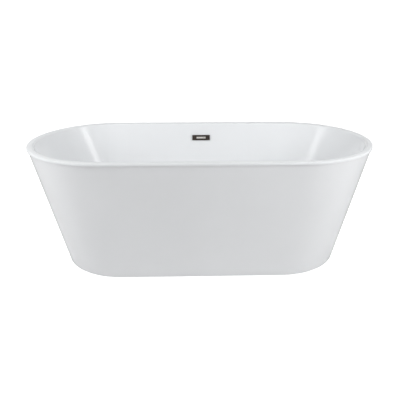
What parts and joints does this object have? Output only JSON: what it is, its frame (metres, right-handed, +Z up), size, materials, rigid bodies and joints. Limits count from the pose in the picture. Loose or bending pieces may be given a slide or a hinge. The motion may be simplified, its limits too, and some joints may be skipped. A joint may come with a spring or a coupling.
{
  "type": "freestanding bathtub",
  "caption": "Freestanding double-shell bathtub with a tapered round-ended skirt, folded rim, underframe on screw feet, click drain and wall overflow.",
  "frame": {"origin": "on the floor under the middle of the tub", "axes": "+X along the length, +Y to the side with the overflow, +Z up"},
  "size_m": [1.6996, 0.8, 0.6],
  "materials": {
    "acrylic_inner": "gloss",
    "acrylic_skirt": "gloss",
    "glass_fibre": "rough, with strands of glass",
    "adhesive": "matte",
    "plywood": "raw plywood",
    "frame_steel": "grey powder coat",
    "cap_plastic": "moulded",
    "zinc_screw": "zinc plated",
    "bracket_zinc": "galvanised",
    "nut_zinc": "zinc plated",
    "stud_zinc": "zinc plated",
    "foot_plastic": "moulded",
    "drain_chrome": "polished",
    "stopper_chrome": "polished",
    "stem_brass": "turned",
    "cartridge_plastic": "moulded",
    "rubber_black": "matte",
    "waste_plastic": "moulded",
    "spring_steel": "drawn wire",
    "hose_plastic": "flexible, ribbed",
    "clamp_steel": "stainless",
    "cover_bronze": "satin dark bronze",
    "insert_light": "satin",
    "screw_bronze": "satin dark bronze"
  },
  "bodies": {
    "tub": {"inner_basin": "acrylic_inner", "outer_skirt": "acrylic_skirt", "basin_backing": "glass_fibre", "rim_bond_bead": "adhesive", "skirt_base_ring": "plywood", "floor_board": "plywood", "frame_rail_front": "frame_steel", "frame_rail_back": "frame_steel", "crossbar_left_end": "frame_steel", "crossbar_left_inner": "frame_steel", "crossbar_right_inner": "frame_steel", "crossbar_right_end": "frame_steel", "tube_end_caps": "cap_plastic", "frame_screws": "zinc_screw", "bracket_screws": "zinc_screw", "skirt_bracket_left_front": "bracket_zinc", "skirt_bracket_left_back": "bracket_zinc", "skirt_bracket_right_front": "bracket_zinc", "skirt_bracket_right_back": "bracket_zinc", "foot_weld_nuts": "nut_zinc", "foot_lock_nuts": "nut_zinc", "drain_flange": "drain_chrome", "drain_top_gasket": "rubber_black", "drain_under_gasket": "rubber_black", "slip_washer": "rubber_black", "overflow_front_gasket": "rubber_black", "overflow_back_gasket": "rubber_black", "drain_body": "waste_plastic", "tailpiece": "waste_plastic", "slip_nut": "waste_plastic", "overflow_body": "waste_plastic", "stopper_cartridge": "cartridge_plastic", "stopper_spring": "spring_steel", "overflow_cover": "cover_bronze", "overflow_insert": "insert_light", "overflow_screws": "screw_bronze", "overflow_hose": "hose_plastic", "hose_clamp_top": "clamp_steel", "hose_clamp_bottom": "clamp_steel"},
    "pad_left_front": {"foot_pad_left_front": "foot_plastic"},
    "stud_left_front": {"foot_stud_left_front": "stud_zinc"},
    "pad_left_back": {"foot_pad_left_back": "foot_plastic"},
    "stud_left_back": {"foot_stud_left_back": "stud_zinc"},
    "pad_right_front": {"foot_pad_right_front": "foot_plastic"},
    "stud_right_front": {"foot_stud_right_front": "stud_zinc"},
    "pad_right_back": {"foot_pad_right_back": "foot_plastic"},
    "stud_right_back": {"foot_stud_right_back": "stud_zinc"},
    "pad_middle_left": {"foot_pad_middle_left": "foot_plastic"},
    "stud_middle_left": {"foot_stud_middle_left": "stud_zinc"},
    "pad_middle_right": {"foot_pad_middle_right": "foot_plastic"},
    "stud_middle_right": {"foot_stud_middle_right": "stud_zinc"},
    "stopper": {"stopper_cap": "stopper_chrome", "stopper_seal": "rubber_black", "stopper_stem": "stem_brass"}
  },
  "joints": [
    {"name": "pad_left_front_height", "type": "slide", "parent": "tub", "child": "pad_left_front", "axis": [0, 0, -1], "range_m": [0, 0.01925]},
    {"name": "stud_left_front_turn", "type": "hinge", "parent": "pad_left_front", "child": "stud_left_front", "pos_m": [-0.45, -0.19, 0.05], "axis": [0, 0, -1], "range_deg": [0, 3961]},
    {"name": "pad_left_back_height", "type": "slide", "parent": "tub", "child": "pad_left_back", "axis": [0, 0, -1], "range_m": [0, 0.01925]},
    {"name": "stud_left_back_turn", "type": "hinge", "parent": "pad_left_back", "child": "stud_left_back", "pos_m": [-0.45, 0.19, 0.05], "axis": [0, 0, -1], "range_deg": [0, 3961]},
    {"name": "pad_right_front_height", "type": "slide", "parent": "tub", "child": "pad_right_front", "axis": [0, 0, -1], "range_m": [0, 0.01925]},
    {"name": "stud_right_front_turn", "type": "hinge", "parent": "pad_right_front", "child": "stud_right_front", "pos_m": [0.45, -0.19, 0.05], "axis": [0, 0, -1], "range_deg": [0, 3961]},
    {"name": "pad_right_back_height", "type": "slide", "parent": "tub", "child": "pad_right_back", "axis": [0, 0, -1], "range_m": [0, 0.01925]},
    {"name": "stud_right_back_turn", "type": "hinge", "parent": "pad_right_back", "child": "stud_right_back", "pos_m": [0.45, 0.19, 0.05], "axis": [0, 0, -1], "range_deg": [0, 3961]},
    {"name": "pad_middle_left_height", "type": "slide", "parent": "tub", "child": "pad_middle_left", "axis": [0, 0, -1], "range_m": [0, 0.01925]},
    {"name": "stud_middle_left_turn", "type": "hinge", "parent": "pad_middle_left", "child": "stud_middle_left", "pos_m": [-0.15, 0, 0.05], "axis": [0, 0, -1], "range_deg": [0, 3961]},
    {"name": "pad_middle_right_height", "type": "slide", "parent": "tub", "child": "pad_middle_right", "axis": [0, 0, -1], "range_m": [0, 0.01925]},
    {"name": "stud_middle_right_turn", "type": "hinge", "parent": "pad_middle_right", "child": "stud_middle_right", "pos_m": [0.15, 0, 0.05], "axis": [0, 0, -1], "range_deg": [0, 3961]},
    {"name": "stopper_lift", "type": "slide", "parent": "tub", "child": "stopper", "axis": [0, 0, 1], "range_m": [0, 0.008], "deforming": ["stopper_spring"]}
  ],
  "couplings": [
    {"joint": "stud_left_front_turn", "follows": "pad_left_front_height", "rad_per_m": 3590.4},
    {"joint": "stud_left_back_turn", "follows": "pad_left_back_height", "rad_per_m": 3590.4},
    {"joint": "stud_right_front_turn", "follows": "pad_right_front_height", "rad_per_m": 3590.4},
    {"joint": "stud_right_back_turn", "follows": "pad_right_back_height", "rad_per_m": 3590.4},
    {"joint": "stud_middle_left_turn", "follows": "pad_middle_left_height", "rad_per_m": 3590.4},
    {"joint": "stud_middle_right_turn", "follows": "pad_middle_right_height", "rad_per_m": 3590.4}
  ]
}
